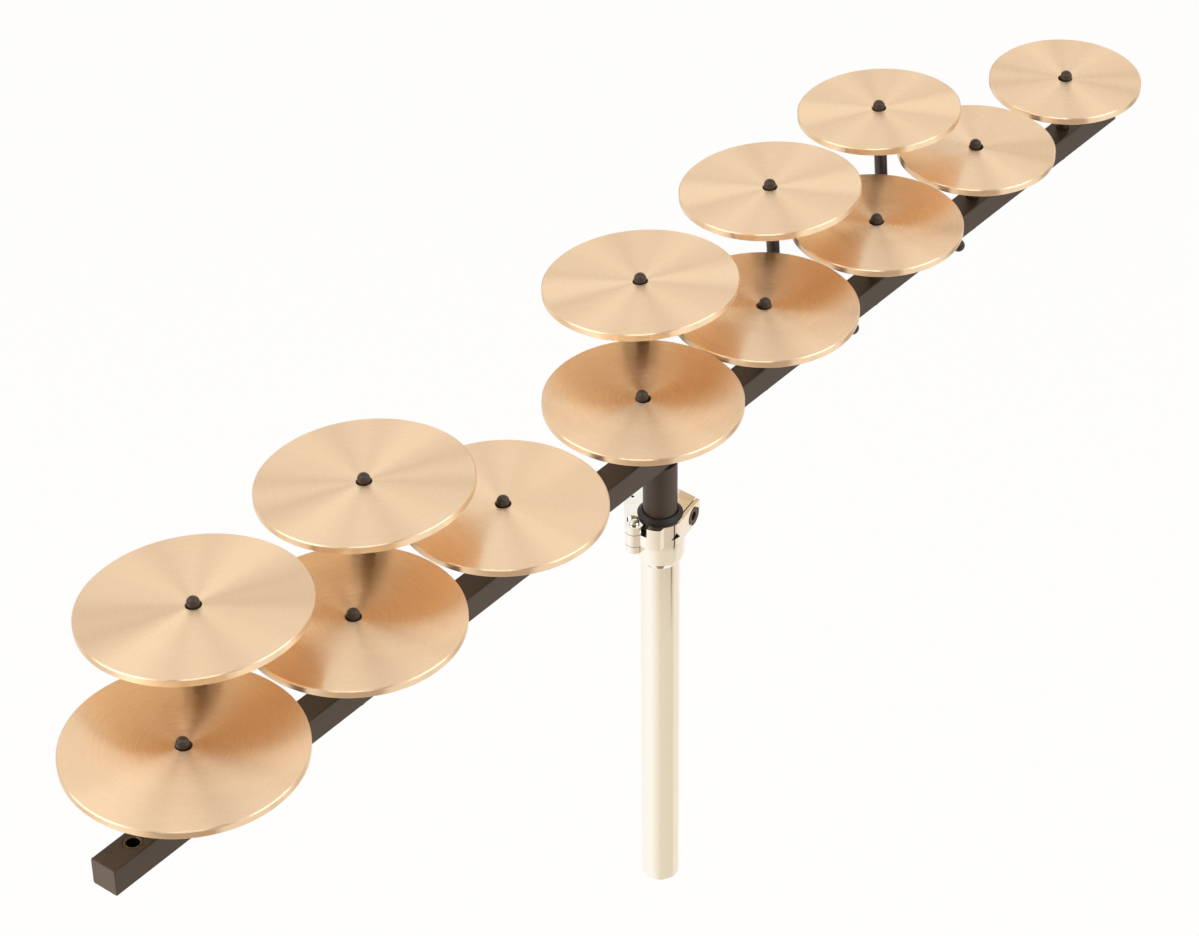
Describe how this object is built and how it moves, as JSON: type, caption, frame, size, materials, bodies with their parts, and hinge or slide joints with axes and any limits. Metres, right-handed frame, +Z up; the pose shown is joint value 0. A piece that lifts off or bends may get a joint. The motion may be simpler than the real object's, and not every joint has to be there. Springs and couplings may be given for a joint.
{
  "type": "crotales set",
  "caption": "Set of tuned bronze crotale discs in keyboard order on rod posts along a square bar, whose centre post slides and turns in the clamp of a chromed stand tube.",
  "frame": {"origin": "on the axis of the stand tube, at its lower end, where a stand's lower half holds it", "axes": "+X along the bar towards the high notes, +Y away from the player, +Z up along the stand tube and the posts"},
  "size_m": [0.8881, 0.1672, 0.395],
  "materials": {
    "bronze": "bright cast bronze, finely turned",
    "bar_coat": "satin black powder coat on steel",
    "rod_coat": "satin black steel rod",
    "insert_steel": "dull plated steel",
    "felt": "dense black felt",
    "black_nylon": "moulded black nylon",
    "chrome": "bright chrome plate"
  },
  "bodies": {
    "stand": {"stand_tube": "chrome", "clamp_body": "chrome", "hinge_screw": "chrome"},
    "jaw": {"clamp_jaw": "chrome"},
    "clamp_screw": {"clamp_screw": "rod_coat"},
    "bushing": {"bushing": "black_nylon"},
    "bar": {"centre_post": "bar_coat", "bar": "bar_coat", "bar_end_insert": "insert_steel", "post_c_low": "rod_coat", "post_c_sharp": "rod_coat", "post_d": "rod_coat", "post_d_sharp": "rod_coat", "post_e": "rod_coat", "post_f": "rod_coat", "post_f_sharp": "rod_coat", "post_g": "rod_coat", "post_g_sharp": "rod_coat", "post_a": "rod_coat", "post_a_sharp": "rod_coat", "post_b": "rod_coat", "post_c_high": "rod_coat"},
    "washer_c_low": {"washer_c_low": "felt"},
    "washer_c_sharp": {"washer_c_sharp": "felt"},
    "washer_d": {"washer_d": "felt"},
    "washer_d_sharp": {"washer_d_sharp": "felt"},
    "washer_e": {"washer_e": "felt"},
    "washer_f": {"washer_f": "felt"},
    "washer_f_sharp": {"washer_f_sharp": "felt"},
    "washer_g": {"washer_g": "felt"},
    "washer_g_sharp": {"washer_g_sharp": "felt"},
    "washer_a": {"washer_a": "felt"},
    "washer_a_sharp": {"washer_a_sharp": "felt"},
    "washer_b": {"washer_b": "felt"},
    "washer_c_high": {"washer_c_high": "felt"},
    "disc_c_low": {"disc_c_low": "bronze"},
    "disc_c_sharp": {"disc_c_sharp": "bronze"},
    "disc_d": {"disc_d": "bronze"},
    "disc_d_sharp": {"disc_d_sharp": "bronze"},
    "disc_e": {"disc_e": "bronze"},
    "disc_f": {"disc_f": "bronze"},
    "disc_f_sharp": {"disc_f_sharp": "bronze"},
    "disc_g": {"disc_g": "bronze"},
    "disc_g_sharp": {"disc_g_sharp": "bronze"},
    "disc_a": {"disc_a": "bronze"},
    "disc_a_sharp": {"disc_a_sharp": "bronze"},
    "disc_b": {"disc_b": "bronze"},
    "disc_c_high": {"disc_c_high": "bronze"}
  },
  "joints": [
    {"name": "bar_swivel", "type": "hinge", "parent": "stand", "child": "bushing", "pos_m": [0, 0, 0.2667], "axis": [0, 0, 1], "continuous": true},
    {"name": "bar_height", "type": "slide", "parent": "bushing", "child": "bar", "axis": [0, 0, 1], "range_m": [-0.027, 0.08]},
    {"name": "jaw_opens", "type": "hinge", "parent": "stand", "child": "jaw", "pos_m": [-0.01568, 0.00602, 0.2623], "axis": [0, 0, -1], "range_deg": [0, 1.5]},
    {"name": "clamp_screw_backs_out", "type": "slide", "parent": "stand", "child": "clamp_screw", "axis": [0.1736, -0.9848, 0], "range_m": [0, 0.0008]},
    {"name": "spin_c_low", "type": "hinge", "parent": "bar", "child": "washer_c_low", "pos_m": [-0.37544, 0, 0.3564], "axis": [0, 0, 1], "continuous": true},
    {"name": "spin_c_sharp", "type": "hinge", "parent": "bar", "child": "washer_c_sharp", "pos_m": [-0.3185, 0.04381, 0.3854], "axis": [0, 0.0767, 0.9971], "continuous": true},
    {"name": "spin_d", "type": "hinge", "parent": "bar", "child": "washer_d", "pos_m": [-0.25112, 0, 0.3564], "axis": [0, 0, 1], "continuous": true},
    {"name": "spin_d_sharp", "type": "hinge", "parent": "bar", "child": "washer_d_sharp", "pos_m": [-0.19131, 0.04381, 0.3854], "axis": [0, 0.0767, 0.9971], "continuous": true},
    {"name": "spin_e", "type": "hinge", "parent": "bar", "child": "washer_e", "pos_m": [-0.13339, 0, 0.3564], "axis": [0, 0, 1], "continuous": true},
    {"name": "spin_f", "type": "hinge", "parent": "bar", "child": "washer_f", "pos_m": [-0.0158, 0, 0.3564], "axis": [0, 0, 1], "continuous": true},
    {"name": "spin_f_sharp", "type": "hinge", "parent": "bar", "child": "washer_f_sharp", "pos_m": [0.03855, 0.04381, 0.3854], "axis": [0, 0.0767, 0.9971], "continuous": true},
    {"name": "spin_g", "type": "hinge", "parent": "bar", "child": "washer_g", "pos_m": [0.09534, 0, 0.3564], "axis": [0, 0, 1], "continuous": true},
    {"name": "spin_g_sharp", "type": "hinge", "parent": "bar", "child": "washer_g_sharp", "pos_m": [0.15815, 0.04381, 0.3854], "axis": [0, 0.0767, 0.9971], "continuous": true},
    {"name": "spin_a", "type": "hinge", "parent": "bar", "child": "washer_a", "pos_m": [0.20271, 0, 0.3564], "axis": [0, 0, 1], "continuous": true},
    {"name": "spin_a_sharp", "type": "hinge", "parent": "bar", "child": "washer_a_sharp", "pos_m": [0.26538, 0.04381, 0.3854], "axis": [0, 0.0767, 0.9971], "continuous": true},
    {"name": "spin_b", "type": "hinge", "parent": "bar", "child": "washer_b", "pos_m": [0.30364, 0, 0.3564], "axis": [0, 0, 1], "continuous": true},
    {"name": "spin_c_high", "type": "hinge", "parent": "bar", "child": "washer_c_high", "pos_m": [0.4013, 0, 0.3564], "axis": [0, 0, 1], "continuous": true},
    {"name": "lift_c_low", "type": "slide", "parent": "washer_c_low", "child": "disc_c_low", "axis": [0, 0, 1], "range_m": [0, 0.012]},
    {"name": "lift_c_sharp", "type": "slide", "parent": "washer_c_sharp", "child": "disc_c_sharp", "axis": [0, 0.0767, 0.9971], "range_m": [0, 0.03]},
    {"name": "lift_d", "type": "slide", "parent": "washer_d", "child": "disc_d", "axis": [0, 0, 1], "range_m": [0, 0.012]},
    {"name": "lift_d_sharp", "type": "slide", "parent": "washer_d_sharp", "child": "disc_d_sharp", "axis": [0, 0.0767, 0.9971], "range_m": [0, 0.03]},
    {"name": "lift_e", "type": "slide", "parent": "washer_e", "child": "disc_e", "axis": [0, 0, 1], "range_m": [0, 0.012]},
    {"name": "lift_f", "type": "slide", "parent": "washer_f", "child": "disc_f", "axis": [0, 0, 1], "range_m": [0, 0.012]},
    {"name": "lift_f_sharp", "type": "slide", "parent": "washer_f_sharp", "child": "disc_f_sharp", "axis": [0, 0.0767, 0.9971], "range_m": [0, 0.03]},
    {"name": "lift_g", "type": "slide", "parent": "washer_g", "child": "disc_g", "axis": [0, 0, 1], "range_m": [0, 0.012]},
    {"name": "lift_g_sharp", "type": "slide", "parent": "washer_g_sharp", "child": "disc_g_sharp", "axis": [0, 0.0767, 0.9971], "range_m": [0, 0.03]},
    {"name": "lift_a", "type": "slide", "parent": "washer_a", "child": "disc_a", "axis": [0, 0, 1], "range_m": [0, 0.012]},
    {"name": "lift_a_sharp", "type": "slide", "parent": "washer_a_sharp", "child": "disc_a_sharp", "axis": [0, 0.0767, 0.9971], "range_m": [0, 0.03]},
    {"name": "lift_b", "type": "slide", "parent": "washer_b", "child": "disc_b", "axis": [0, 0, 1], "range_m": [0, 0.012]},
    {"name": "lift_c_high", "type": "slide", "parent": "washer_c_high", "child": "disc_c_high", "axis": [0, 0, 1], "range_m": [0, 0.03]}
  ],
  "couplings": [
    {"joint": "clamp_screw_backs_out", "follows": "jaw_opens", "m_per_rad": 0.0282}
  ]
}
